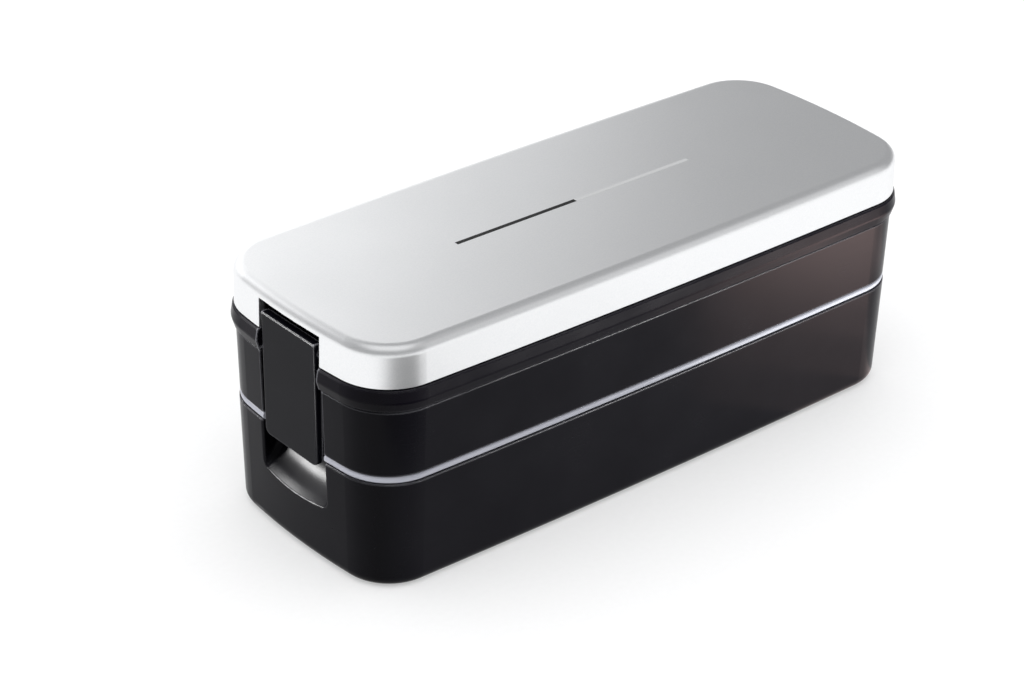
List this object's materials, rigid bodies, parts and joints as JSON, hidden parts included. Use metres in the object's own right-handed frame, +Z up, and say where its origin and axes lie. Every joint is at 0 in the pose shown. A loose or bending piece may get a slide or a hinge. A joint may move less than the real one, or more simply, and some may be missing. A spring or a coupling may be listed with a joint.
{
  "type": "two-tier bento lunch box",
  "caption": "Slim two-tier bento box with a satin silver lid shell, black frame and stacked tiers, inner lids with seals, dividers, and an end latch at each end.",
  "frame": {"origin": "centre of the flat underside of the lower tier", "axes": "+X along the length towards the right latch, +Y across the width, +Z up"},
  "size_m": [0.2312, 0.0898, 0.0856],
  "materials": {
    "shell_silver": "satin silver paint on moulded plastic",
    "frame_black": "fine matte black",
    "latch_black": "semi-gloss black",
    "tier_black": "semi-gloss black",
    "inner_lid_grey": "satin blue grey",
    "seal_silicone": "milky silicone",
    "divider_grey": "satin grey"
  },
  "bodies": {
    "base": {"lower_tier": "tier_black"},
    "lower_partition": {"lower_divider": "divider_grey"},
    "middle_lid": {"lower_inner_lid": "inner_lid_grey", "lower_seal": "seal_silicone"},
    "top_tier": {"upper_tier": "tier_black"},
    "upper_partition": {"upper_divider": "divider_grey"},
    "inner_cover": {"upper_inner_lid": "inner_lid_grey", "upper_seal": "seal_silicone"},
    "outer_lid": {"lid_frame": "frame_black", "lid_shell": "shell_silver"},
    "left_latch": {"latch_left": "latch_black"},
    "right_latch": {"latch_right": "latch_black"}
  },
  "joints": [
    {"name": "lower_divider_slide", "type": "slide", "parent": "base", "child": "lower_partition", "axis": [1, 0, 0], "range_m": [-0.07, 0.03]},
    {"name": "middle_lid_lift", "type": "slide", "parent": "base", "child": "middle_lid", "axis": [0, 0, 1], "range_m": [0, 0.05]},
    {"name": "top_tier_lift", "type": "slide", "parent": "middle_lid", "child": "top_tier", "axis": [0, 0, 1], "range_m": [0, 0.06]},
    {"name": "upper_divider_slide", "type": "slide", "parent": "top_tier", "child": "upper_partition", "axis": [1, 0, 0], "range_m": [-0.025, 0.075]},
    {"name": "inner_cover_lift", "type": "slide", "parent": "top_tier", "child": "inner_cover", "axis": [0, 0, 1], "range_m": [0, 0.04]},
    {"name": "outer_lid_lift", "type": "slide", "parent": "inner_cover", "child": "outer_lid", "axis": [0, 0, 1], "range_m": [0, 0.07]},
    {"name": "left_latch_hinge", "type": "hinge", "parent": "outer_lid", "child": "left_latch", "pos_m": [-0.112, 0, 0.0747], "axis": [0, 1, 0], "range_deg": [0, 105]},
    {"name": "right_latch_hinge", "type": "hinge", "parent": "outer_lid", "child": "right_latch", "pos_m": [0.112, 0, 0.0747], "axis": [0, -1, 0], "range_deg": [0, 105]}
  ]
}
